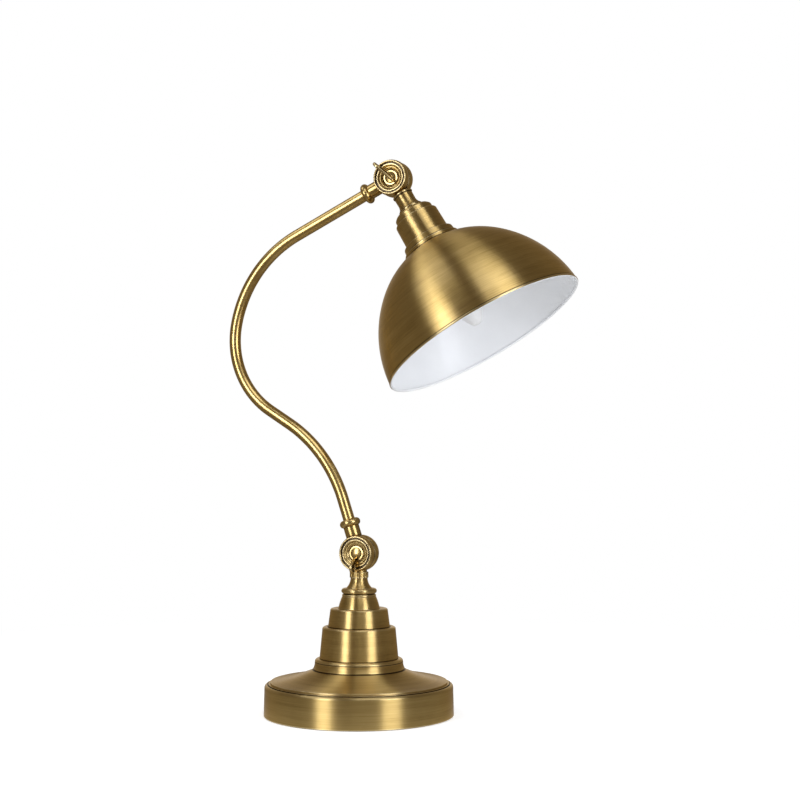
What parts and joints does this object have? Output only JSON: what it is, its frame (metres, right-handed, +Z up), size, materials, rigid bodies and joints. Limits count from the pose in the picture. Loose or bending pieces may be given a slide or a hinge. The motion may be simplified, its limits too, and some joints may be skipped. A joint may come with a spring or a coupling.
{
  "type": "desk lamp",
  "caption": "Desk lamp with a spun dome shade on an S-curved tube arm, clamped swivel joints at both ends, and a stepped pedestal on a weighted drum base.",
  "frame": {"origin": "centre of the round base on the table, under the pedestal's axis", "axes": "+Z up along the pedestal; the arm and the shade lie in the XZ plane with the shade towards +X; the thumb keys face -Y"},
  "size_m": [0.3108, 0.178, 0.4681],
  "materials": {
    "antique_brass": "brushed, antiqued",
    "cast_iron": "as cast",
    "felt": "felt",
    "black_rubber": "matte",
    "steel": "zinc plated",
    "fibre": "matte",
    "white_plastic": "gloss",
    "contact_brass": "plain",
    "cap_steel": "plated",
    "black_plastic": "matte",
    "opal_glass": "opal"
  },
  "bodies": {
    "base": {"felt_pad": "felt", "drum_shell": "antique_brass", "base_weight": "cast_iron", "dish_cover": "antique_brass", "cord_grommet": "black_rubber", "rod_washer": "steel", "rod_nut": "steel", "threaded_rod": "steel", "foot_ring": "antique_brass", "lower_tier": "antique_brass", "middle_tier": "antique_brass", "bell": "antique_brass", "bead_ring": "antique_brass", "flared_neck": "antique_brass", "knurled_collar": "antique_brass", "lower_knuckle_base": "antique_brass", "lower_friction_ring": "fibre"},
    "lower_key": {"lower_key": "antique_brass"},
    "arm": {"lower_knuckle_arm": "antique_brass", "lower_cap_nut": "antique_brass", "lower_ferrule": "antique_brass", "arm_tube": "antique_brass", "upper_ferrule": "antique_brass", "upper_knuckle_arm": "antique_brass", "upper_friction_ring": "fibre"},
    "upper_key": {"upper_key": "antique_brass"},
    "head": {"upper_knuckle_head": "antique_brass", "upper_cap_nut": "antique_brass", "holder_neck": "antique_brass", "holder_nipple": "steel", "cup_shoulder": "antique_brass", "holder_cup": "antique_brass", "shade_gallery": "antique_brass", "shade": "antique_brass", "shade_ring": "white_plastic", "lamp_holder": "white_plastic", "holder_shell": "contact_brass", "holder_contact": "contact_brass", "bulb_cap": "cap_steel", "bulb_contact": "black_plastic", "bulb_glass": "opal_glass"}
  },
  "joints": [
    {"name": "lower_tilt", "type": "hinge", "parent": "base", "child": "arm", "pos_m": [0, 0, 0.1358], "axis": [0, 1, 0], "range_deg": [-40, 50]},
    {"name": "upper_tilt", "type": "hinge", "parent": "arm", "child": "head", "pos_m": [0.03078, 0, 0.45282], "axis": [0, -1, 0], "range_deg": [-30, 75]},
    {"name": "lower_key_turn", "type": "hinge", "parent": "base", "child": "lower_key", "pos_m": [0, 0, 0.1358], "axis": [0, -1, 0], "range_deg": [0, 180]},
    {"name": "upper_key_turn", "type": "hinge", "parent": "arm", "child": "upper_key", "pos_m": [0.03078, 0, 0.45282], "axis": [0, -1, 0], "range_deg": [0, 180]}
  ]
}
